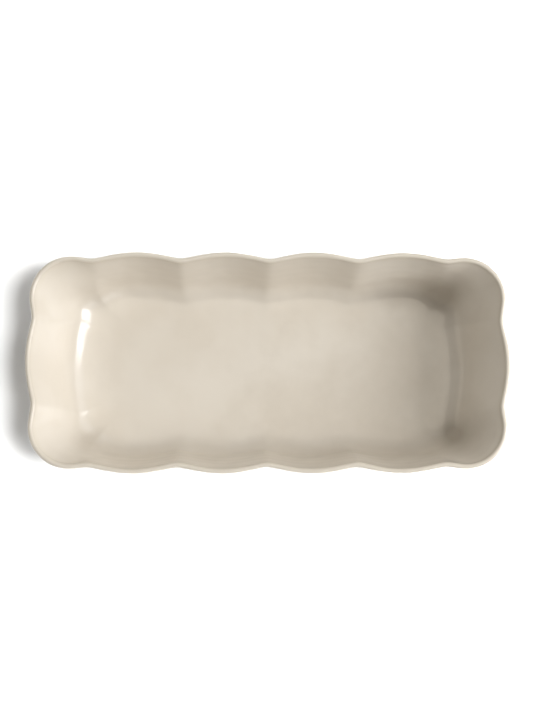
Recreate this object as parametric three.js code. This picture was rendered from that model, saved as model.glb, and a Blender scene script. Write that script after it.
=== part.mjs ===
// A deep rectangular serving dish in glazed stoneware, with a scalloped wall.
// Fourteen shallow lobes run round the rim: four on each long side, one on each end and one on
// each corner. They fade down the wall and die out on the flat floor. The dish stands on a bare
// clay foot ring; a continuous glaze coat covers the rest, with its own patch inside the ring.
//
// Millimetres, +Z up, +X along the length. The origin is on the table under the middle.

import * as THREE from 'three';

// ---- Overall size -------------------------------------------------------------------------
const LENGTH = 315;
const WIDTH = 144.5;
const HEIGHT = 60;

// ---- Lobes: how far each kind stands out from the rail that carries it, at the rim ---------
const SIDE_LOBE = 4.1;
const END_LOBE = 4;
const CORNER_LOBE = 3.1;
const CUSP_SOFTNESS = 0.16;

// ---- Wall, floor and lip ------------------------------------------------------------------
const LIP_RADIUS = 1.7;
const WALL_AT_LIP = 2 * LIP_RADIUS;
const WALL_AT_BASE = 5.4;
const FLOOR_Z = 7;
const END_FILLET = 25;
const SIDE_FILLET = 17;
const FILLET_RISE = 14;
const FLOOR_EASE = 8;

// ---- Foot ---------------------------------------------------------------------------------
const GLAZE_LINE_Z = 3;
const OUTER_FILLET = 18;
const FOOT_STEP = 0.6;
const FOOT_BEVEL = 0.6;
const FOOT_WIDTH = 6;
const RECESS_Z = 2;

// ---- Glaze --------------------------------------------------------------------------------
const GLAZE = 0.4;
const UNDERSIDE_GAP = 1.2;

// ---- Facets -------------------------------------------------------------------------------
const FACETS_PER_LOBE = 4;
const FACETS_PER_CORNER = 6;
const LIP_FACETS = 4;
const FILLET_FACETS = 4;

// A level is one horizontal turn of the wall: the rounded rectangle that carries the lobes
// (its rail), how the lobes are spaced along it, how much of their depth is left, and its height.
const RIM = {
  halfLength: LENGTH / 2 - END_LOBE,
  halfWidth: WIDTH / 2 - SIDE_LOBE,
  corner: 30,
  sidePitch: 58,
  endPitch: 56,
  ruffle: 1,
  z: HEIGHT - LIP_RADIUS,
};
const BASE = {
  halfLength: 129,
  halfWidth: 57.4,
  corner: 38,
  sidePitch: 57,
  endPitch: 62,
  ruffle: 0.75,
  z: FLOOR_Z,
};

// The edge of the flat floor, at the foot of the inner fillet.
const FLOOR_EDGE = {
  halfLength: BASE.halfLength - WALL_AT_BASE - END_FILLET,
  halfWidth: BASE.halfWidth - WALL_AT_BASE - SIDE_FILLET,
  corner: 30,
  sidePitch: 46,
  endPitch: 34,
  ruffle: 0.5,
  z: FLOOR_Z,
};

/** Blends every measure of two levels. */
function mix(p, q, t) {
  const level = {};
  for (const key of Object.keys(p)) level[key] = p[key] + (q[key] - p[key]) * t;
  return level;
}

/** Moves a level's rail inwards by a distance. */
function inset(p, distance) {
  return {
    ...p,
    halfLength: p.halfLength - distance,
    halfWidth: p.halfWidth - distance,
    corner: p.corner - distance,
  };
}

/** The outer wall's straight draft, carried on to any height. */
function outerWall(z) {
  return mix(RIM, BASE, (RIM.z - z) / (RIM.z - BASE.z));
}

/** The inner wall's straight draft: the outer one moved in by the wall's thickness. */
function innerWall(z) {
  const depth = (RIM.z - z) / (RIM.z - BASE.z);
  return inset(outerWall(z), WALL_AT_LIP + (WALL_AT_BASE - WALL_AT_LIP) * depth);
}

/** A rounded bend from level p to level r, heading for the sharp corner q on the way. */
function bend(p, q, r, facets) {
  const levels = [];
  for (let i = 0; i <= facets; i += 1) {
    const t = i / facets;
    levels.push(mix(mix(p, q, t), mix(q, r, t), t));
  }
  return levels;
}

/** A lobe's profile, 0 at its two cusps and 1 in the middle, with the cusps rounded off. */
function lobe(u) {
  const sine = Math.sin(Math.PI * u);
  const softened = Math.hypot(sine, CUSP_SOFTNESS) - CUSP_SOFTNESS;
  return softened / (Math.hypot(1, CUSP_SOFTNESS) - CUSP_SOFTNESS);
}

/** The rail's length over one quarter, from the middle of a long side to the middle of an end. */
function quarterLength({ halfLength, halfWidth, corner }) {
  return halfLength - corner + (Math.PI / 2) * corner + halfWidth - corner;
}

/** A point s along the rail, clockwise from the middle of the +Y side, and its outward normal. */
function railPoint(level, s) {
  const { halfLength, halfWidth, corner } = level;
  const quarter = quarterLength(level);
  const turn = Math.floor(s / quarter);
  const along = turn % 2 === 0 ? s - turn * quarter : (turn + 1) * quarter - s;
  const straight = halfLength - corner;
  const angle = THREE.MathUtils.clamp((along - straight) / corner, 0, Math.PI / 2);
  const past = Math.max(0, along - straight - (Math.PI / 2) * corner);
  const x = Math.min(along, straight) + corner * Math.sin(angle);
  const y = halfWidth - corner + corner * Math.cos(angle) - past;
  const signX = turn % 4 < 2 ? 1 : -1;
  const signY = turn % 4 === 0 || turn % 4 === 3 ? 1 : -1;
  return { x: signX * x, y: signY * y, nx: signX * Math.sin(angle), ny: signY * Math.cos(angle) };
}

/** The fourteen lobes of a level, each from cusp to cusp along the rail. */
function lobesOf(level) {
  const { sidePitch, endPitch } = level;
  const quarter = quarterLength(level);
  const side = { height: SIDE_LOBE, facets: FACETS_PER_LOBE };
  const end = { height: END_LOBE, facets: FACETS_PER_LOBE };
  const corner = { height: CORNER_LOBE, facets: FACETS_PER_CORNER };
  const lobes = [];
  for (const start of [0, 2 * quarter]) {
    const far = start + 2 * quarter;
    const endStart = start + quarter - endPitch / 2;
    const endStop = start + quarter + endPitch / 2;
    lobes.push({ ...side, from: start, to: start + sidePitch });
    lobes.push({ ...side, from: start + sidePitch, to: start + 2 * sidePitch });
    lobes.push({ ...corner, from: start + 2 * sidePitch, to: endStart });
    lobes.push({ ...end, from: endStart, to: endStop });
    lobes.push({ ...corner, from: endStop, to: far - 2 * sidePitch });
    lobes.push({ ...side, from: far - 2 * sidePitch, to: far - sidePitch });
    lobes.push({ ...side, from: far - sidePitch, to: far });
  }
  return lobes;
}

/** The ring of points of one level. */
function ring(level) {
  const points = [];
  for (const { from, to, height, facets } of lobesOf(level)) {
    for (let i = 0; i < facets; i += 1) {
      const u = i / facets;
      const { x, y, nx, ny } = railPoint(level, from + (to - from) * u);
      const out = level.ruffle * height * lobe(u);
      points.push(new THREE.Vector3(x + nx * out, y + ny * out, level.z));
    }
  }
  return points;
}

/** Rings moved along the surface's own normal, into the solid when distance is negative. */
function offsetRings(rings, distance) {
  return rings.map((points, row) => {
    const before = rings[Math.max(row - 1, 0)];
    const after = rings[Math.min(row + 1, rings.length - 1)];
    return points.map((point, i) => {
      const around = new THREE.Vector3().subVectors(
        points[(i + points.length - 1) % points.length],
        points[(i + 1) % points.length],
      );
      const along = new THREE.Vector3().subVectors(after[i], before[i]);
      const normal = around.cross(along).normalize();
      return point.clone().addScaledVector(normal, distance);
    });
  });
}

/** Two triangles for the four-cornered patch a, b, c, d, split along its shorter diagonal. */
function patch(points, a, b, c, d) {
  const acIsShorter = points[a].distanceToSquared(points[c]) < points[b].distanceToSquared(points[d]);
  return acIsShorter ? [a, b, c, a, c, d] : [a, b, d, b, c, d];
}

/** A closed solid skinned over rings that run clockwise, closed by a point at each end. */
function skin(rings, firstPoint, lastPoint) {
  const count = rings[0].length;
  const points = [firstPoint, ...rings.flat(), lastPoint];
  const lastRing = 1 + (rings.length - 1) * count;
  const index = [];
  for (let i = 0; i < count; i += 1) {
    const next = (i + 1) % count;
    index.push(0, 1 + i, 1 + next);
    for (let here = 1; here < lastRing; here += count) {
      const above = here + count;
      index.push(...patch(points, here + i, above + i, above + next, here + next));
    }
    index.push(lastRing + i, points.length - 1, lastRing + next);
  }
  const geometry = new THREE.BufferGeometry().setFromPoints(points);
  geometry.setIndex(index);
  geometry.computeVertexNormals();
  return geometry;
}

/** A level without lobes, whose corner facets lie on its rounded corners. */
function plain(level) {
  const { halfLength, halfWidth, corner } = level;
  return { ...level, sidePitch: (halfLength - corner) / 2, endPitch: 2 * (halfWidth - corner), ruffle: 0 };
}

/** The glaze line, where the outside of the wall has rounded in under the dish. */
function glazeLine() {
  return plain(inset(outerWall(GLAZE_LINE_Z), OUTER_FILLET));
}

/** The levels of the glazed surface, from the glaze line outside to the flat floor inside. */
function glazedLevels() {
  const wallFoot = outerWall(GLAZE_LINE_Z + OUTER_FILLET);
  const outside = bend(glazeLine(), outerWall(GLAZE_LINE_Z), wallFoot, FILLET_FACETS);

  const lip = [];
  for (let i = 0; i <= LIP_FACETS; i += 1) {
    const angle = (Math.PI * i) / LIP_FACETS;
    const across = LIP_RADIUS * (1 - Math.cos(angle));
    lip.push({ ...inset(RIM, across), z: RIM.z + LIP_RADIUS * Math.sin(angle) });
  }

  const inside = bend(innerWall(FLOOR_Z + FILLET_RISE), innerWall(FLOOR_Z), FLOOR_EDGE, FILLET_FACETS);
  return [...outside, ...lip, ...inside, plain(inset(FLOOR_EDGE, FLOOR_EASE))];
}

/** The rings of the bare foot, from the recess under the dish out to the glaze line. */
function footRings() {
  const outer = inset(glazeLine(), FOOT_STEP);
  const inner = inset(outer, FOOT_WIDTH);
  return [
    { ...inner, z: RECESS_Z },
    { ...inner, z: FOOT_BEVEL },
    { ...inset(inner, -FOOT_BEVEL), z: 0 },
    { ...inset(outer, FOOT_BEVEL), z: 0 },
    { ...outer, z: FOOT_BEVEL },
    { ...outer, z: GLAZE_LINE_Z - FOOT_STEP },
  ].map(ring);
}

/** The glaze patch inside the foot ring: a thin plate against the recess. */
function undersidePatch() {
  const edge = inset(glazeLine(), FOOT_STEP + FOOT_WIDTH + UNDERSIDE_GAP);
  const rings = [{ ...edge, z: RECESS_Z - GLAZE }, { ...edge, z: RECESS_Z }].map(ring);
  return skin(rings, new THREE.Vector3(0, 0, RECESS_Z - GLAZE), new THREE.Vector3(0, 0, RECESS_Z));
}

const glazeSkin = glazedLevels().map(ring);
const claySkin = offsetRings(glazeSkin, -GLAZE);
const glazeFloor = new THREE.Vector3(0, 0, FLOOR_Z);
const clayFloor = new THREE.Vector3(0, 0, FLOOR_Z - GLAZE);

const bodyGeometry = skin([...footRings(), ...claySkin], new THREE.Vector3(0, 0, RECESS_Z), clayFloor);
const coatGeometry = skin([...claySkin.toReversed(), ...glazeSkin], clayFloor, glazeFloor);

const bareClay = new THREE.MeshStandardMaterial({ color: 0xd9c4a2, roughness: 0.85, metalness: 0 });
const creamGlaze = new THREE.MeshStandardMaterial({ color: 0xe4dac6, roughness: 0.12, metalness: 0 });
const undersideGlaze = new THREE.MeshStandardMaterial({ color: 0xe0d6c2, roughness: 0.2, metalness: 0 });

/** A named piece of the dish. */
function piece(name, geometry, material) {
  const mesh = new THREE.Mesh(geometry, material);
  mesh.name = name;
  return mesh;
}

const dish = new THREE.Group();
dish.add(piece('stoneware_body', bodyGeometry, bareClay));
dish.add(piece('glaze_coat', coatGeometry, creamGlaze));
dish.add(piece('underside_glaze', undersidePatch(), undersideGlaze));

export default dish;
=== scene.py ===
"""Looks of a scalloped stoneware serving dish: fine surfaces, glaze and clay finishes, studio.

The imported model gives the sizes. The fine surfaces follow the same rails and lobes as the solids
that they replace, with the small unevenness of a pressed and hand-glazed dish.
"""

from __future__ import annotations

import logging
import math
from dataclasses import dataclass, field, fields, replace
from enum import Enum
from typing import Any

import bpy
import numpy as np
from mathutils import Matrix, Vector

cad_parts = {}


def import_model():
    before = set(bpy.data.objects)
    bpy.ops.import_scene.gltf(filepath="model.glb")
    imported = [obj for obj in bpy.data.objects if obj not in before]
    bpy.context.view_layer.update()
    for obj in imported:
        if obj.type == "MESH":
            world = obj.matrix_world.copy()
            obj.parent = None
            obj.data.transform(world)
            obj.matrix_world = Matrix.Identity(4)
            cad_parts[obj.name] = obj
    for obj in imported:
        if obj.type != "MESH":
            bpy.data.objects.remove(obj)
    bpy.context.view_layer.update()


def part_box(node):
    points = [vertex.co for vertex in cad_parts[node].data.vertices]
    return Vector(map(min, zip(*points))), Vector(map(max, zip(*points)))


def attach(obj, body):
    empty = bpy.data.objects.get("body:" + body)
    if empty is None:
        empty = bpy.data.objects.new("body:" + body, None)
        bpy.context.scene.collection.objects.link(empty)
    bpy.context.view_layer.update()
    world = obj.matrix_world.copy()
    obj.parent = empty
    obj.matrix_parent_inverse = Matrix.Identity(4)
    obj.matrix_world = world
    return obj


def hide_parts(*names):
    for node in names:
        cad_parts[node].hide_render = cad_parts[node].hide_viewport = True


LOG = logging.getLogger("serving_dish")
MM = 0.001
BODY = "root"
# Per-vertex glaze thickness, which also carries painted shade where the pools lie.
THICKNESS_AND_SHADE = "glaze_thickness_and_painted_shade"

# Wavelength, in millimetres, of a wave that is as good as level along that axis.
LEVEL_WAVE = 9.0e3

# Light colours.
WHITE = (1.0, 1.0, 1.0)
CREAM = (1.0, 0.93, 0.80)
WARM = (1.0, 0.995, 0.965)
COOL = (0.985, 1.0, 1.025)


# ---- The dish's form ----------------------------------------------------------------------


@dataclass(frozen=True)
class Level:
    """One horizontal turn of the wall, in millimetres.

    The rail is the rounded rectangle that carries the lobes.
    """

    half_length: float
    half_width: float
    corner: float
    side_pitch: float
    end_pitch: float
    ruffle: float
    z: float

    def mixed(self, other: Level, t: float) -> Level:
        """Blends every measure with another level's.

        Args:
            other: The level reached at t = 1.
            t: The share of the other level, which may lie outside 0 to 1.

        Returns:
            The level in between.
        """
        names = [f.name for f in fields(self)]
        mine = np.array([getattr(self, n) for n in names])
        theirs = np.array([getattr(other, n) for n in names])
        return Level(*(mine + (theirs - mine) * t))

    def inset(self, distance: float) -> Level:
        """Returns the level with its rail moved inwards by a distance."""
        return replace(
            self,
            half_length=self.half_length - distance,
            half_width=self.half_width - distance,
            corner=self.corner - distance,
        )

    def plain(self) -> Level:
        """Returns the level without lobes, its corner columns on its rounded corners."""
        return replace(
            self,
            side_pitch=(self.half_length - self.corner) / 2,
            end_pitch=2 * (self.half_width - self.corner),
            ruffle=0.0,
        )

    def quarter(self) -> float:
        """Returns the rail's length from the middle of a side to the middle of an end."""
        straight = self.half_length + self.half_width - 2 * self.corner
        return straight + math.pi / 2 * self.corner


@dataclass(frozen=True)
class Scallops:
    """The fourteen lobes: how far each kind stands out, and how they are spread.

    Drift is how far the hand-set lobes have slipped round the rim, clockwise.
    """

    side: float = 4.1
    end: float = 4.0
    corner: float = 3.1
    softness: float = 0.16
    drift: float = 1.3
    columns: int = 24

    def heights(self) -> np.ndarray:
        """Returns the height of each lobe, clockwise from the middle of the +Y side."""
        half = [self.side] * 2 + [self.corner, self.end, self.corner] + [self.side] * 2
        return np.array(half * 2)

    def cusps(self, level: Level) -> np.ndarray:
        """Returns where the lobes of a level meet, as distances along its rail."""
        quarter, pitch, end = level.quarter(), level.side_pitch, level.end_pitch / 2
        half = [0, pitch, 2 * pitch, quarter - end, quarter + end]
        half += [2 * quarter - 2 * pitch, 2 * quarter - pitch]
        return np.array(half + [2 * quarter + s for s in half] + [4 * quarter])

    def profile(self, u: np.ndarray) -> np.ndarray:
        """Returns a lobe's height, 0 at its cusps and 1 in the middle, with soft cusps."""
        soft = self.softness
        return (np.hypot(np.sin(np.pi * u), soft) - soft) / (math.hypot(1, soft) - soft)

    def ring(self, level: Level) -> np.ndarray:
        """Lays out the points of one level.

        Args:
            level: The level to lay out.

        Returns:
            Its points, clockwise seen from above, in millimetres.
        """
        cusps = self.cusps(level)
        u = np.tile(np.arange(self.columns) / self.columns, len(cusps) - 1)
        start = np.repeat(cusps[:-1], self.columns)
        span = np.repeat(np.diff(cusps), self.columns)
        x, y, nx, ny = rail_points(level, start + span * u + self.drift)
        out = level.ruffle * np.repeat(self.heights(), self.columns) * self.profile(u)
        return np.stack([x + nx * out, y + ny * out, np.full_like(x, level.z)], axis=1)


def rail_points(level: Level, s: np.ndarray) -> tuple[np.ndarray, ...]:
    """Places points along a level's rail.

    Args:
        level: The level that the rail belongs to.
        s: Distances clockwise from the middle of the +Y side.

    Returns:
        x, y and the outward normal's x and y.
    """
    quarter = level.quarter()
    turn = np.floor(s / quarter).astype(int)
    along = np.where(turn % 2 == 0, s - turn * quarter, (turn + 1) * quarter - s)
    straight = level.half_length - level.corner
    arc = math.pi / 2 * level.corner
    angle = np.clip((along - straight) / level.corner, 0, math.pi / 2)
    past = np.maximum(0, along - straight - arc)
    x = np.minimum(along, straight) + level.corner * np.sin(angle)
    y = level.half_width - level.corner + level.corner * np.cos(angle) - past
    sign_x = np.where(turn % 4 < 2, 1, -1)
    sign_y = np.where((turn % 4 == 0) | (turn % 4 == 3), 1, -1)
    return sign_x * x, sign_y * y, sign_x * np.sin(angle), sign_y * np.cos(angle)


def bend(start: Level, corner: Level, stop: Level, steps: int) -> list[Level]:
    """Rounds a corner between two levels.

    Args:
        start: Where the bend starts.
        corner: The sharp corner that it heads for and rounds off.
        stop: Where the bend ends.
        steps: How many steps it takes.

    Returns:
        The bend's levels, both ends included.
    """
    shares = np.linspace(0, 1, steps + 1)
    return [start.mixed(corner, t).mixed(corner.mixed(stop, t), t) for t in shares]


def densified(levels: list[Level], longest: float) -> list[Level]:
    """Adds levels between those that lie further apart than a distance.

    Args:
        levels: The levels to fill in.
        longest: The longest step that is left, in millimetres.

    Returns:
        The filled list.
    """
    filled = [levels[0]]
    for here, there in zip(levels, levels[1:]):
        step = math.hypot(here.half_length - there.half_length, here.z - there.z)
        pieces = max(1, math.ceil(step / longest))
        filled += [here.mixed(there, i / pieces) for i in range(1, pieces + 1)]
    return filled


def grid_normals(grid: np.ndarray) -> np.ndarray:
    """Returns the outward unit normals of a grid of clockwise rings."""
    around = np.roll(grid, 1, axis=1) - np.roll(grid, -1, axis=1)
    along = np.empty_like(grid)
    along[1:-1] = grid[2:] - grid[:-2]
    along[0] = grid[1] - grid[0]
    along[-1] = grid[-1] - grid[-2]
    normals = np.cross(around, along)
    return normals / np.linalg.norm(normals, axis=2, keepdims=True)


@dataclass(frozen=True)
class Section:
    """The dish's vertical section, in millimetres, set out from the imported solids' boxes.

    The flares say how far the outer wall leans out between the floor's height and the rim.
    """

    length: float
    width: float
    height: float
    glaze_line: float
    scallops: Scallops = field(default_factory=Scallops)
    lip_radius: float = 1.7
    wall_at_lip: float = 3.4
    wall_at_base: float = 5.4
    end_flare: float = 24.5
    side_flare: float = 10.75
    floor_z: float = 7.0
    end_fillet: float = 25.0
    side_fillet: float = 17.0
    fillet_rise: float = 14.0
    floor_ease: float = 8.0
    outer_fillet: float = 18.0
    foot_step: float = 0.6
    foot_bevel: float = 0.6
    foot_width: float = 6.0
    foot_root: float = 0.5
    recess_z: float = 2.0
    glaze: float = 0.4
    longest_step: float = 1.6
    wall_turn_steps: int = 18
    lip_steps: int = 16
    foot_turn_steps: int = 4

    def rim(self) -> Level:
        """Returns the widest level, where the lip's round starts."""
        return Level(
            half_length=self.length / 2 - self.scallops.end,
            half_width=self.width / 2 - self.scallops.side,
            corner=30.0,
            side_pitch=58.0,
            end_pitch=56.0,
            ruffle=1.0,
            z=self.height - self.lip_radius,
        )

    def base(self) -> Level:
        """Returns the outer wall's level at the height of the inner floor."""
        rim = self.rim()
        return Level(
            half_length=rim.half_length - self.end_flare,
            half_width=rim.half_width - self.side_flare,
            corner=38.0,
            side_pitch=57.0,
            end_pitch=62.0,
            ruffle=0.75,
            z=self.floor_z,
        )

    def outer_wall(self, z: float) -> Level:
        """Returns the outer wall's straight draft at any height."""
        rim, base = self.rim(), self.base()
        return rim.mixed(base, (rim.z - z) / (rim.z - base.z))

    def inner_wall(self, z: float) -> Level:
        """Returns the inner wall's straight draft at any height."""
        depth = (self.rim().z - z) / (self.rim().z - self.floor_z)
        thickness = self.wall_at_lip + (self.wall_at_base - self.wall_at_lip) * depth
        return self.outer_wall(z).inset(thickness)

    def toe(self) -> Level:
        """Returns the glaze line, where the wall has rounded in under the dish."""
        return self.outer_wall(self.glaze_line).inset(self.outer_fillet).plain()

    def outside(self) -> list[Level]:
        """Returns the outside levels, from the glaze line up to the lip."""
        wall_foot = self.outer_wall(self.glaze_line + self.outer_fillet)
        corner = self.outer_wall(self.glaze_line)
        turned = bend(self.toe(), corner, wall_foot, self.wall_turn_steps)
        return densified(turned + [self.rim()], self.longest_step)

    def lip(self) -> list[Level]:
        """Returns the levels over the lip, from its widest one to the inner wall."""
        levels = []
        for angle in np.linspace(0, math.pi, self.lip_steps + 1)[1:]:
            across = self.lip_radius * (1 - math.cos(angle))
            top = self.rim().z + self.lip_radius * math.sin(angle)
            levels.append(replace(self.rim().inset(across), z=top))
        return levels

    def floor_edge(self) -> Level:
        """Returns the edge of the flat floor, at the foot of the inner fillet."""
        corner = self.inner_wall(self.floor_z)
        return replace(
            corner,
            half_length=corner.half_length - self.end_fillet,
            half_width=corner.half_width - self.side_fillet,
            corner=30.0,
            side_pitch=46.0,
            end_pitch=34.0,
            ruffle=0.5,
        )

    def inside(self) -> list[Level]:
        """Returns the inside levels, from the lip down to the flat floor."""
        corner, edge = self.inner_wall(self.floor_z), self.floor_edge()
        wall_foot = self.inner_wall(self.floor_z + self.fillet_rise)
        turned = bend(wall_foot, corner, edge, self.wall_turn_steps)
        wall = densified([self.lip()[-1], wall_foot], self.longest_step)[1:-1]
        ease = densified([edge, edge.inset(self.floor_ease).plain()], self.longest_step)[1:]
        return wall + turned + ease

    def foot(self) -> list[Level]:
        """Returns the bare foot's levels, from the recess out to the glaze line."""
        outer = self.toe().inset(self.foot_step)
        inner = outer.inset(self.foot_width)
        bevel, root, steps = self.foot_bevel, self.foot_root, self.foot_turn_steps
        points = [
            (inner.inset(root), self.recess_z),
            (inner, self.recess_z),
            (inner, self.recess_z - root),
            (inner, bevel),
            (inner, 0.0),
            (inner.inset(-bevel), 0.0),
            (outer.inset(bevel), 0.0),
            (outer, 0.0),
            (outer, bevel),
            (outer, self.glaze_line - self.foot_step),
        ]
        path = [replace(level, z=z) for level, z in points]
        levels = bend(*path[0:3], steps) + bend(*path[3:6], steps) + bend(*path[6:9], steps)
        return levels + [path[9]]


@dataclass(frozen=True)
class Wave:
    """One long, shallow wave of unevenness: its height, its three wavelengths and its phase."""

    height: float
    across_x: float
    across_y: float
    across_z: float
    phase: float

    def at(self, points: np.ndarray) -> np.ndarray:
        """Returns the wave's height at points given in millimetres."""
        turns = points @ np.array([1 / self.across_x, 1 / self.across_y, 1 / self.across_z])
        return self.height * np.sin(2 * math.pi * turns + self.phase)


@dataclass(frozen=True)
class HandFinish:
    """How a pressed and hand-sponged surface departs from its true form, in millimetres."""

    waves: tuple[Wave, ...] = (
        Wave(0.10, 97.0, -150.0, 210.0, 0.4),
        Wave(0.07, -61.0, 83.0, 95.0, 1.9),
        Wave(0.04, 43.0, 37.0, -60.0, 4.1),
        Wave(0.03, 29.0, -71.0, 33.0, 2.6),
        Wave(0.03, 11.0, 400.0, 900.0, 0.8),
        Wave(0.02, 19.0, 23.0, 21.0, 5.0),
        Wave(0.02, LEVEL_WAVE, -LEVEL_WAVE, 9.0, 0.6),
    )

    def at(self, points: np.ndarray) -> np.ndarray:
        """Returns how far the surface stands out at each point."""
        return sum(wave.at(points) for wave in self.waves)


# ---- Meshes -------------------------------------------------------------------------------


def tube_faces(rows: int, columns: int, first: int) -> list[tuple[int, ...]]:
    """Returns the quads that join consecutive rings of vertices.

    Args:
        rows: How many rings there are.
        columns: How many vertices a ring has.
        first: The index of the first ring's first vertex.

    Returns:
        Vertex indices, wound outwards for clockwise rings.
    """
    row, column = np.meshgrid(np.arange(rows - 1), np.arange(columns), indexing="ij")
    here = first + row * columns
    over = (column + 1) % columns
    quads = [here + column, here + columns + column, here + columns + over, here + over]
    return [tuple(q) for q in np.stack(quads, axis=-1).reshape(-1, 4).tolist()]


def skinned(name: str, grid: np.ndarray) -> bpy.types.Object:
    """Skins a grid of clockwise rings and closes it with a fan at each end.

    Args:
        name: The piece's name.
        grid: Rings of points in millimetres, shaped (rows, columns, 3).

    Returns:
        The piece, smooth shaded and linked to the scene.
    """
    rows, columns, _ = grid.shape
    ends = [grid[0].mean(axis=0), grid[-1].mean(axis=0)]
    points = np.concatenate([ends[0][None], grid.reshape(-1, 3), ends[1][None]]) * MM
    last = 1 + (rows - 1) * columns
    faces = tube_faces(rows, columns, 1)
    for i in range(columns):
        over = (i + 1) % columns
        faces.append((0, 1 + i, 1 + over))
        faces.append((last + i, len(points) - 1, last + over))
    mesh = bpy.data.meshes.new(name)
    mesh.from_pydata(points.tolist(), [], faces)
    mesh.validate()
    mesh.shade_smooth()
    piece = bpy.data.objects.new(name, mesh)
    bpy.context.scene.collection.objects.link(piece)
    return piece


def closing_rings(ring: np.ndarray, count: int) -> np.ndarray:
    """Returns rings that shrink a level ring towards its middle, the ring itself left out."""
    middle = ring.mean(axis=0)
    shares = 1 - np.arange(1, count) / count
    return middle + (ring - middle) * shares[:, None, None]


def store(piece: bpy.types.Object, name: str, values: np.ndarray) -> None:
    """Stores one number per vertex on a skinned piece.

    Args:
        piece: The piece, made by skinned().
        name: The attribute's name.
        values: A number per grid point; the two fan points take their ring's mean.
    """
    padded = np.concatenate([[values[0].mean()], values.ravel(), [values[-1].mean()]])
    attribute = piece.data.attributes.new(name, "FLOAT", "POINT")
    attribute.data.foreach_set("value", padded.astype(np.float32))


# ---- Shader tools -------------------------------------------------------------------------


class Signal:
    """A number socket that Python arithmetic works on."""

    def __init__(self, sheet: ShaderSheet, socket: bpy.types.NodeSocket) -> None:
        """Wraps a socket of a sheet."""
        self.sheet = sheet
        self.socket = socket

    def _math(self, operation: str, *operands: Any, clamp: bool = False) -> Signal:
        """Adds a Math node.

        Args:
            operation: The Math node's operation.
            operands: Signals or numbers, in order.
            clamp: Whether the result is held to 0 to 1.

        Returns:
            The node's result.
        """
        settings = {"operation": operation, "use_clamp": clamp}
        inputs = dict(enumerate(operands))
        return self.sheet.node("ShaderNodeMath", settings, inputs).number("Value")

    def __add__(self, other: Signal | float) -> Signal:
        """Returns self + other."""
        return self._math("ADD", self, other)

    __radd__ = __add__

    def __sub__(self, other: Signal | float) -> Signal:
        """Returns self - other."""
        return self._math("SUBTRACT", self, other)

    def __rsub__(self, other: Signal | float) -> Signal:
        """Returns other - self."""
        return self._math("SUBTRACT", other, self)

    def __mul__(self, other: Signal | float) -> Signal:
        """Returns self * other."""
        return self._math("MULTIPLY", self, other)

    __rmul__ = __mul__

    def clamped(self) -> Signal:
        """Returns the signal held to 0 to 1."""
        return self._math("ADD", self, 0.0, clamp=True)


class ShaderNode:
    """A placed node whose outputs are read by name."""

    def __init__(self, sheet: ShaderSheet, node: bpy.types.Node) -> None:
        """Wraps a node of a sheet."""
        self.sheet = sheet
        self.node = node

    def number(self, name: str) -> Signal:
        """Returns an output as a number that arithmetic works on."""
        return Signal(self.sheet, self.node.outputs[name])

    def out(self, name: str) -> bpy.types.NodeSocket:
        """Returns an output as it is, for a colour, a vector or a shader."""
        return self.node.outputs[name]


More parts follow.
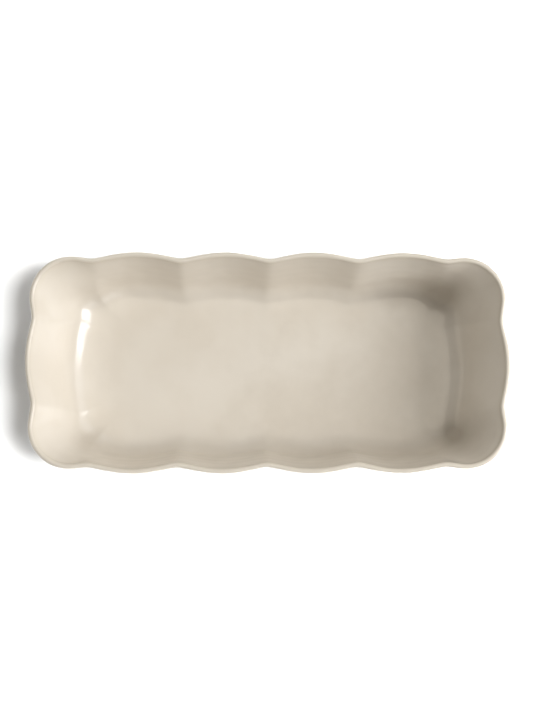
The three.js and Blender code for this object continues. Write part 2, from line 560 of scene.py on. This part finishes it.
class ShaderSheet:
    """The node tree of one material or world."""

    def __init__(self, owner: bpy.types.Material | bpy.types.World) -> None:
        """Empties the node tree of a new material or world."""
        self.owner = owner
        self.owner.use_nodes = True
        self.tree = self.owner.node_tree
        self.tree.nodes.clear()

    @classmethod
    def for_material(cls, name: str) -> ShaderSheet:
        """Returns an empty sheet on a new material."""
        return cls(bpy.data.materials.new(name))

    def node(
        self,
        kind: str,
        settings: dict[str, Any] | None = None,
        inputs: dict[str | int, Any] | None = None,
    ) -> ShaderNode:
        """Places a node.

        Args:
            kind: The node's type.
            settings: Its properties, set first. "stops" fills a colour ramp.
            inputs: Values or links for its sockets, by name or number.

        Returns:
            The placed node.
        """
        made = self.tree.nodes.new(kind)
        for name, value in (settings or {}).items():
            if name == "stops":
                self._fill_ramp(made.color_ramp, value)
            else:
                setattr(made, name, value)
        for key, value in (inputs or {}).items():
            socket = made.inputs[key]
            if isinstance(value, Signal):
                value = value.socket
            if isinstance(value, bpy.types.NodeSocket):
                self.tree.links.new(value, socket)
            else:
                socket.default_value = value
        return ShaderNode(self, made)

    @staticmethod
    def _fill_ramp(ramp: bpy.types.ColorRamp, stops: list[tuple[float, float]]) -> None:
        """Gives a ramp its stops, as pairs of position and grey value."""
        while len(ramp.elements) < len(stops):
            ramp.elements.new(1.0)
        for element, (position, grey) in zip(ramp.elements, stops):
            element.position = position
            element.color = (grey, grey, grey, 1.0)

    def noise(self, size: float, detail: float = 2.0, roughness: float = 0.5) -> Signal:
        """Returns noise from 0 to 1 whose lumps are about so many metres across."""
        place = self.node("ShaderNodeTexCoord").out("Object")
        inputs = {"Vector": place, "Scale": 1 / size, "Detail": detail, "Roughness": roughness}
        return self.node("ShaderNodeTexNoise", {}, inputs).number("Fac")

    def ramp(self, value: Signal, stops: list[tuple[float, float]]) -> Signal:
        """Returns a value sent through a grey ramp of (position, grey) stops."""
        ramp = self.node("ShaderNodeValToRGB", {"stops": stops}, {"Fac": value})
        return Signal(self, ramp.out("Color"))

    def mix(self, share: Signal | float, first: Any, second: Any) -> bpy.types.NodeSocket:
        """Returns two colours mixed: the first where share is 0, the second where it is 1."""
        inputs = {"Factor": share, 6: first, 7: second}
        node = self.node("ShaderNodeMix", {"data_type": "RGBA"}, inputs)
        return node.node.outputs[2]

    def bump(self, height: Signal, depth: float, normal: Any = None) -> bpy.types.NodeSocket:
        """Returns a normal bumped by a height from 0 to 1 that is so many metres deep."""
        inputs: dict[str | int, Any] = {"Height": height, "Distance": depth, "Strength": 1.0}
        if normal is not None:
            inputs["Normal"] = normal
        return self.node("ShaderNodeBump", {}, inputs).out("Normal")

    def finish(self, inputs: dict[str | int, Any]) -> bpy.types.Material:
        """Places the surface shader with its inputs and returns the material."""
        surface = self.node("ShaderNodeBsdfPrincipled", {}, inputs).out("BSDF")
        self.node("ShaderNodeOutputMaterial", {}, {"Surface": surface})
        return self.owner


Colour = tuple[float, float, float, float]


@dataclass(frozen=True)
class GlossGlaze:
    """A glossy cream glaze over pale clay.

    It runs thin on the lip, where the clay warms it, is faintly streaked where it flowed, and is
    darker where it pooled, a darkening that also serves as painted shade in the inner corners and
    on part of the floor. Sizes and depths are in metres.
    """

    name: str
    body: Colour = (0.652, 0.598, 0.518, 1.0)
    thin: Colour = (0.60, 0.54, 0.45, 1.0)
    streak: Colour = (0.622, 0.564, 0.48, 1.0)
    # Colour of pooled glaze, also the colour of the painted shade.
    pooled_and_shaded: Colour = (0.40, 0.352, 0.29, 1.0)
    gloss: float = 0.18
    index: float = 1.54
    cloud_size: float = 0.055
    fleck_size: float = 0.009
    peel_size: float = 0.0035
    peel_depth: float = 0.00002
    ripple_size: float = 0.014
    ripple_depth: float = 0.00010

    def material(self) -> bpy.types.Material:
        """Returns the glaze's material."""
        sheet = ShaderSheet.for_material(self.name)
        thickness = sheet.node(
            "ShaderNodeAttribute", {"attribute_name": THICKNESS_AND_SHADE, "attribute_type": "GEOMETRY"}
        ).number("Fac")
        clouds = sheet.noise(self.cloud_size, 3.0, 0.55)
        flecks = sheet.noise(self.fleck_size, 4.0, 0.6)
        depth = thickness + 0.2 * (clouds - 0.5) + 0.1 * (flecks - 0.5)
        thin_to_body = sheet.ramp(depth.clamped(), [(0.05, 0.0), (0.35, 1.0)])
        # Darker where the glaze pooled and where painted shade is carried in the thickness
        # attribute.
        body_to_pooled_and_shaded = sheet.ramp(depth.clamped(), [(0.45, 0.0), (1.0, 1.0)])
        streaks = sheet.ramp(clouds, [(0.4, 0.0), (0.62, 1.0)])
        flowed = sheet.mix(streaks, self.body, self.streak)
        covered = sheet.mix(thin_to_body, self.thin, flowed)
        colour = sheet.mix(body_to_pooled_and_shaded, covered, self.pooled_and_shaded)
        roughness = self.gloss + 0.05 * (clouds - 0.5) + 0.04 * (flecks - 0.5)
        peel = sheet.bump(sheet.noise(self.peel_size, 1.0), self.peel_depth)
        normal = sheet.bump(sheet.noise(self.ripple_size), self.ripple_depth, peel)
        return sheet.finish(
            {
                "Base Color": colour,
                "Roughness": roughness,
                "Normal": normal,
                "IOR": self.index,
            }
        )


@dataclass(frozen=True)
class BareClay:
    """Fired, unglazed clay: matt, warm and gritty. Sizes and depths are in metres."""

    name: str
    clay: Colour = (0.69, 0.56, 0.41, 1.0)
    grog: Colour = (0.50, 0.37, 0.25, 1.0)
    pale: Colour = (0.80, 0.70, 0.56, 1.0)
    cloud_size: float = 0.03
    grit_size: float = 0.0007
    grit_depth: float = 0.00012
    grog_share: float = 0.55

    def material(self) -> bpy.types.Material:
        """Returns the clay's material."""
        sheet = ShaderSheet.for_material(self.name)
        cloud = sheet.noise(self.cloud_size, 4.0, 0.6)
        grit = sheet.noise(self.grit_size, 3.0, 0.7)
        grains = sheet.ramp(grit, [(0.60, 0.0), (0.68, 1.0)])
        warm = sheet.mix(cloud, self.clay, self.pale)
        colour = sheet.mix(grains * self.grog_share, warm, self.grog)
        normal = sheet.bump(grit, self.grit_depth)
        roughness = 0.82 + 0.12 * (cloud - 0.5)
        return sheet.finish({"Base Color": colour, "Roughness": roughness, "Normal": normal})


# ---- The dish's pieces --------------------------------------------------------------------


@dataclass(frozen=True)
class PoolAndPaintedShade:
    """A place inside the dish where the glaze has run together, made darker still as painted shade
    in the inner corners; one broad patch is painted shade alone.

    Its middle is given in shares of the inner wall's half length and half width at the floor, and
    its reach in millimetres.
    """

    x: float
    y: float
    reach_x: float
    reach_y: float
    depth: float

    def at(self, points: np.ndarray, corner: Level) -> np.ndarray:
        """Works out how deep the glaze has pooled, together with the painted shade that it
        carries.

        Args:
            points: Points of the inner surface, in millimetres.
            corner: The inner wall's level at the floor.

        Returns:
            The depth of pooling and painted shade at each point, as a share of a full pool.
        """
        across = (points[..., 0] - self.x * corner.half_length) / self.reach_x
        along = (points[..., 1] - self.y * corner.half_width) / self.reach_y
        return self.depth * np.exp(-across * across - along * along)


@dataclass
class Dish:
    """The glazed dish: one surface grid, from which the coat, the clay and the foot are made."""

    section: Section
    finish: HandFinish = field(default_factory=HandFinish)
    floor_rings: int = 22
    recess_rings: int = 8
    edge_steps: tuple[float, ...] = (0.1, 0.22, 0.4, 0.65)
    # Glaze pooled in the inner corners, darkened further as painted shade, most in the +X end's
    # corners, where the walls face away from the key light; the fifth, broad and faint, is painted
    # shade alone, darkening the floor towards +X and -Y.
    pools_and_painted_shade: tuple[PoolAndPaintedShade, ...] = (
        PoolAndPaintedShade(0.979, 1.019, 15.0, 21.0, 1.25),
        PoolAndPaintedShade(0.744, 0.981, 28.0, 8.0, 0.7),
        PoolAndPaintedShade(1.003, -0.846, 8.0, 9.0, 0.9),
        PoolAndPaintedShade(1.133, -0.962, 18.0, 18.0, 0.9),
        PoolAndPaintedShade(0.485, -0.577, 100.0, 60.0, 0.26),
        PoolAndPaintedShade(-0.963, 1.0, 16.0, 10.0, 0.35),
        PoolAndPaintedShade(-0.963, -1.0, 16.0, 10.0, 0.4),
    )
    pool_and_shade_rise: float = 60.0
    even_thickness: float = 0.4
    lip_thickness: float = 0.12
    pool_and_shade_thickness: float = 0.6
    thin_rings_outside: int = 4
    thin_rings_inside: int = 1
    blur: int = 5

    def surface(self) -> tuple[np.ndarray, np.ndarray]:
        """Lays out the glazed surface, from the glaze line outside to the middle of the floor.

        Returns:
            The grid of points and the glaze's thickness at each, from 0 to 1, with painted shade
            added as extra thickness in the pools.
        """
        section = self.section
        outside, lip, inside = section.outside(), section.lip(), section.inside()
        edge = [outside[0].mixed(outside[1], t) for t in self.edge_steps]
        levels = [outside[0], *edge, *outside[1:], *lip, *inside]
        rings = np.stack([section.scallops.ring(level) for level in levels])
        floor = closing_rings(rings[-1], self.floor_rings)
        grid = np.concatenate([rings, floor])
        thickness = np.full(grid.shape[:2], self.even_thickness)
        lip_starts = len(outside) + len(edge)
        lip_ends = lip_starts + len(lip)
        thin_starts = lip_starts - self.thin_rings_outside
        thin_ends = lip_ends + self.thin_rings_inside
        thickness[thin_starts:thin_ends] = self.lip_thickness
        kernel = np.ones(self.blur) / self.blur
        thickness = np.apply_along_axis(np.convolve, 0, thickness, kernel, mode="same")
        margin = self.blur // 2
        thickness[:margin], thickness[-margin:] = self.even_thickness, self.even_thickness
        # Pooled glaze, with painted shade, in the inner corners and on the floor towards +X and
        # -Y.
        thickness[lip_ends:] += self.pool_and_shade_thickness * self.pooling_and_painted_shade(grid[lip_ends:])
        return grid, thickness

    def pooling_and_painted_shade(self, points: np.ndarray) -> np.ndarray:
        """Adds up the pools, which carry painted shade, each fading with height up the wall.

        Args:
            points: Points of the inner surface, in millimetres.

        Returns:
            The pooling and painted shade at each point, as a share of a full pool.
        """
        corner = self.section.inner_wall(self.section.floor_z)
        low = np.clip(1 - (points[..., 2] - corner.z) / self.pool_and_shade_rise, 0, 1)
        return low * sum(shaded_pool.at(points, corner) for shaded_pool in self.pools_and_painted_shade)

    def uneven(self, grid: np.ndarray) -> np.ndarray:
        """Returns a grid with the hand's unevenness, kept to the solid's own box."""
        moved = grid + grid_normals(grid) * self.finish.at(grid)[..., None]
        low, high = grid.min(axis=(0, 1)), grid.max(axis=(0, 1))
        moved_low, moved_high = moved.min(axis=(0, 1)), moved.max(axis=(0, 1))
        return low + (moved - moved_low) * (high - low) / (moved_high - moved_low)

    def build(self) -> list[bpy.types.Object]:
        """Builds the coat and the clay, dresses them and puts them on the frame."""
        grid, thickness = self.surface()
        grid = self.uneven(grid)
        normals = grid_normals(grid)
        clay = grid - normals * self.section.glaze
        bead = np.ones(len(grid))
        count = len(self.edge_steps) + 2
        bead[:count] = np.sqrt(1 - (1 - np.array([0, *self.edge_steps, 1.0])) ** 2)
        coat = clay + normals * self.section.glaze * bead[:, None, None]
        return [self._coat(clay, coat, thickness), self._body(clay)]

    def _coat(self, clay: np.ndarray, coat: np.ndarray, thickness: np.ndarray) -> bpy.types.Object:
        """Builds the glaze coat: a closed skin from the clay's surface to its own."""
        piece = skinned("glaze_coat_skin", np.concatenate([clay[::-1], coat[1:]]))
        store(piece, THICKNESS_AND_SHADE, np.concatenate([thickness[::-1], thickness[1:]]))
        return mounted(piece, GlossGlaze("cream_glaze"), "glaze_coat")

    def _body(self, clay: np.ndarray) -> bpy.types.Object:
        """Builds the clay body with its bare foot ring, from every other ring of the clay."""
        foot = np.stack([self.section.scallops.ring(level) for level in self.section.foot()])
        recess = closing_rings(foot[0], self.recess_rings)[::-1]
        piece = skinned("stoneware_body_form", np.concatenate([recess, foot, clay[::2]]))
        return mounted(piece, BareClay("bare_clay"), "stoneware_body")


@dataclass
class UndersidePatch:
    """The patch of glaze inside the foot ring, which pools into a rounded bead along its edge.

    Sizes are in millimetres. The unevenness is a share of the hand's full unevenness.
    """

    section: Section
    finish: HandFinish = field(default_factory=HandFinish)
    bead_width: float = 1.2
    bead_height: float = 0.06
    edge_radius: float = 0.5
    edge_steps: int = 5
    bottom_rings: int = 12
    back_rings: int = 4
    unevenness: float = 0.25
    thickness: float = 0.45

    def edge(self, half_length: float) -> Level:
        """Returns the patch's edge: the foot ring's inner face, moved in to a half length."""
        inner = self.section.toe().inset(self.section.foot_step + self.section.foot_width)
        return inner.inset(inner.half_length - half_length)

    def build(self) -> bpy.types.Object:
        """Builds the patch, dresses it and puts it on the frame."""
        low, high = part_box("underside_glaze")
        face, back = low.z / MM, high.z / MM
        edge = self.edge(high.x / MM)
        bead_starts = replace(edge.inset(self.bead_width), z=face + self.bead_height)
        lowest = replace(edge.inset(self.edge_radius), z=face)
        turned = bend(lowest, replace(edge, z=face), replace(edge, z=back), self.edge_steps)
        rings = np.stack([self.section.scallops.ring(level) for level in [bead_starts, *turned]])
        bottom = closing_rings(rings[0], self.bottom_rings)[::-1]
        waves = self.finish.at(bottom)
        bottom[..., 2] += self.unevenness * (waves - waves.min())
        grid = np.concatenate([bottom, rings, closing_rings(rings[-1], self.back_rings)])
        piece = skinned("underside_glaze_patch", grid)
        store(piece, THICKNESS_AND_SHADE, np.full(grid.shape[:2], self.thickness))
        return mounted(piece, GlossGlaze("underside_glaze"), "underside_glaze")


def mounted(
    piece: bpy.types.Object, finish: GlossGlaze | BareClay, node: str
) -> bpy.types.Object:
    """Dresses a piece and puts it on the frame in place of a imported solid.

    Args:
        piece: The piece.
        finish: Its finish.
        node: The solid that it stands for.

    Returns:
        The piece.
    """
    piece.data.materials.append(finish.material())
    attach(piece, BODY)
    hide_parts(node)
    LOG.info("%s: %d faces, stands for %s", piece.name, len(piece.data.polygons), node)
    return piece


# ---- Studio -------------------------------------------------------------------------------


class Effect(Enum):
    """What a light adds to a surface."""

    BOTH = "both"
    SHADING = "shading"
    GLOSS = "gloss"


class Outline(Enum):
    """The outline of a light."""

    RECTANGLE = "RECTANGLE"
    OVAL = "ELLIPSE"


class Reach(Enum):
    """What a light falls on."""

    ALL = "all"
    TABLE = "table"


@dataclass(frozen=True)
class Softbox:
    """A flat light that faces the dish.

    It is placed by its bearing from +X and its elevation, and sized by the angles that it fills
    as seen from the dish, all in degrees. Its distance is in metres.
    """

    name: str
    bearing: float
    elevation: float
    wide: float
    tall: float
    radiance: float
    effect: Effect = Effect.BOTH
    outline: Outline = Outline.RECTANGLE
    tint: tuple[float, float, float] = WHITE
    distance: float = 3.0
    reach: Reach = Reach.ALL

    def place(self, aim: Vector, table_only: bpy.types.Collection) -> bpy.types.Object:
        """Makes the light.

        Args:
            aim: The point that it faces.
            table_only: The collection that holds nothing but the table.

        Returns:
            The light.
        """
        bearing, elevation = math.radians(self.bearing), math.radians(self.elevation)
        flat = math.cos(elevation)
        toward = Vector((flat * math.cos(bearing), flat * math.sin(bearing), math.sin(elevation)))
        lamp = bpy.data.lights.new(self.name, "AREA")
        lamp.shape = self.outline.value
        lamp.color = self.tint
        lamp.size = 2 * self.distance * math.tan(math.radians(self.wide / 2))
        lamp.size_y = 2 * self.distance * math.tan(math.radians(self.tall / 2))
        lamp.energy = self.radiance * math.pi * lamp.size * lamp.size_y
        light = bpy.data.objects.new(self.name, lamp)
        light.location = aim + toward * self.distance
        light.rotation_mode = "QUATERNION"
        light.rotation_quaternion = toward.to_track_quat("Z", "Y")
        light.visible_diffuse = self.effect != Effect.GLOSS
        light.visible_glossy = self.effect != Effect.SHADING
        bpy.context.scene.collection.objects.link(light)
        if self.reach == Reach.TABLE:
            light.light_linking.receiver_collection = table_only
        return light


@dataclass(frozen=True)
class Studio:
    """A white table, a pale room and the softboxes."""

    room: float = 0.17
    backdrop: float = 1.0
    table_size: float = 3.0
    table_grey: float = 0.64
    softboxes: tuple[Softbox, ...] = (
        Softbox("key", -12.0, 33.0, 26.0, 26.0, 12.1, tint=COOL),
        Softbox("front_key", -46.0, 30.0, 36.0, 28.0, 1.75),
        Softbox("back_key", 30.0, 30.0, 52.0, 28.0, 2.05),
        Softbox("left_fill", 180.0, 28.0, 64.0, 36.0, 0.62, Effect.SHADING, tint=WARM),
        Softbox("back_fill", 100.0, 22.0, 56.0, 30.0, 1.25, Effect.SHADING, tint=WARM),
        Softbox("front_fill", -110.0, 22.0, 56.0, 30.0, 0.5, Effect.SHADING, tint=WARM),
        Softbox("overhead", 0.0, 90.0, 79.0, 79.0, 0.28, Effect.SHADING, tint=WARM),
        Softbox(
            "overhead_sheen",
            90.0,
            89.0,
            91.0,
            79.0,
            1.35,
            Effect.GLOSS,
            Outline.OVAL,
            tint=CREAM,
            distance=2.9,
        ),
        Softbox("back_sheen", 90.0, 38.0, 70.0, 25.0, 0.7, Effect.GLOSS, tint=CREAM),
        Softbox("table_light", -16.0, 71.0, 15.0, 18.0, 72.0, reach=Reach.TABLE),
    )

    def build(self, aim: Vector) -> None:
        """Builds the table, the lights and the room.

        Args:
            aim: The middle of the dish's rim.
        """
        table_only = bpy.data.collections.new("table_only")
        table_only.objects.link(self._table())
        for softbox in self.softboxes:
            softbox.place(aim, table_only)
        self._room()
        scene = bpy.context.scene
        scene.view_settings.view_transform = "Standard"
        scene.view_settings.look = "None"

    def _table(self) -> bpy.types.Object:
        """Builds the white table that the dish stands on."""
        half = self.table_size / 2
        corners = [(-half, -half, 0), (half, -half, 0), (half, half, 0), (-half, half, 0)]
        mesh = bpy.data.meshes.new("table")
        mesh.from_pydata(corners, [], [(0, 1, 2, 3)])
        table = bpy.data.objects.new("table", mesh)
        bpy.context.scene.collection.objects.link(table)
        sheet = ShaderSheet.for_material("white_table")
        grey = self.table_grey
        matt = {"Base Color": (grey, grey, grey, 1.0), "Roughness": 0.9, "Specular IOR Level": 0.1}
        mesh.materials.append(sheet.finish(matt))
        return table

    def _room(self) -> None:
        """Fills the room with a low, even light and shows a white backdrop behind the dish."""
        world = bpy.data.worlds.new("pale_room")
        sheet = ShaderSheet(world)
        seen = sheet.node("ShaderNodeLightPath").out("Is Camera Ray")
        levels = {"Value": seen, "To Min": self.room, "To Max": self.backdrop}
        strength = sheet.node("ShaderNodeMapRange", {}, levels).out("Result")
        glow = {"Color": (*WHITE, 1.0), "Strength": strength}
        background = sheet.node("ShaderNodeBackground", {}, glow).out("Background")
        sheet.node("ShaderNodeOutputWorld", {}, {"Surface": background})
        bpy.context.scene.world = world


@dataclass(frozen=True)
class Camera:
    """The camera, almost straight above the rim and leaning a little towards -Y."""

    distance: float = 1.197
    lens: float = 92.3
    lean: float = 6.2
    side: float = -1.8
    roll: float = -0.17
    aim_offset: tuple[float, float] = (0.0009, 0.0014)

    def place(self, rim: Vector) -> bpy.types.Object:
        """Makes the camera and makes it the scene's.

        Args:
            rim: The middle of the dish's rim.

        Returns:
            The camera.
        """
        lean, side = math.radians(self.lean), math.radians(self.side)
        back = Vector(
            (math.sin(side), -math.sin(lean) * math.cos(side), math.cos(lean) * math.cos(side))
        )
        right = Vector((0, 1, 0)).cross(back).normalized()
        level = Matrix((right, back.cross(right), back)).transposed()
        camera = bpy.data.objects.new("camera", bpy.data.cameras.new("camera"))
        camera.data.lens = self.lens
        camera.location = rim + Vector((*self.aim_offset, 0.0)) + back * self.distance
        camera.rotation_mode = "QUATERNION"
        turned = level @ Matrix.Rotation(math.radians(self.roll), 3, "Z")
        camera.rotation_quaternion = turned.to_quaternion()
        bpy.context.scene.collection.objects.link(camera)
        bpy.context.scene.camera = camera
        return camera


# ---- Main ---------------------------------------------------------------------------------


def main() -> None:
    """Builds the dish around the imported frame, lights it and finishes the scene."""
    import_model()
    low, high = (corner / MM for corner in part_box("glaze_coat"))
    size = high - low
    section = Section(size.x, size.y, high.z, low.z)
    finish = HandFinish()
    Dish(section, finish).build()
    UndersidePatch(section, finish).build()
    rim = Vector((0, 0, section.rim().z * MM))
    Studio().build(rim)
    Camera().place(rim)


if __name__ == "__main__":
    logging.basicConfig(level=logging.INFO, format="%(message)s")
    main()
